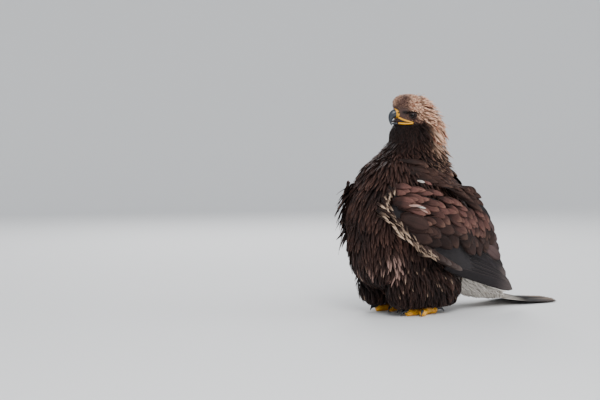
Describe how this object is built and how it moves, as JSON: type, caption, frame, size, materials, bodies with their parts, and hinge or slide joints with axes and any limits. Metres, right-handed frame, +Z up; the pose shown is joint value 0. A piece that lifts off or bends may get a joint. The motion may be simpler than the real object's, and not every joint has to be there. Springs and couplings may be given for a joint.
{
  "type": "golden eagle",
  "caption": "Still life-size model of a young golden eagle standing with fluffed plumage and drooped folded wings.",
  "frame": {"origin": "on the floor, under the middle of the bird's own box", "axes": "the bird faces -X, its left side is -Y, +Z is up"},
  "size_m": [0.655, 0.3014, 0.553],
  "materials": {
    "gold_plumage": "matte feathers, pale gold on the crown and nape",
    "brown_plumage": "matte dark brown body feathers",
    "wing_coverts": "satin red-brown coverts with paler edges",
    "flight_feathers": "satin blackish vanes, white at the tail's base",
    "horn": "polished dark horn",
    "cere_and_toes": "waxy yellow skin",
    "eyes": "wet dark brown eye"
  },
  "bodies": {
    "root": {"head": "gold_plumage", "neck": "gold_plumage", "torso": "brown_plumage", "leg_left": "brown_plumage", "leg_right": "brown_plumage", "wing_left": "wing_coverts", "wing_right": "wing_coverts", "tail": "flight_feathers", "cere": "cere_and_toes", "bill_lower": "cere_and_toes", "bill_upper": "horn", "eye_left": "eyes", "eye_right": "eyes", "foot_left": "cere_and_toes", "foot_right": "cere_and_toes", "talon_inner_left": "horn", "talon_middle_left": "horn", "talon_outer_left": "horn", "talon_hind_left": "horn", "talon_inner_right": "horn", "talon_middle_right": "horn", "talon_outer_right": "horn", "talon_hind_right": "horn"}
  },
  "joints": []
}
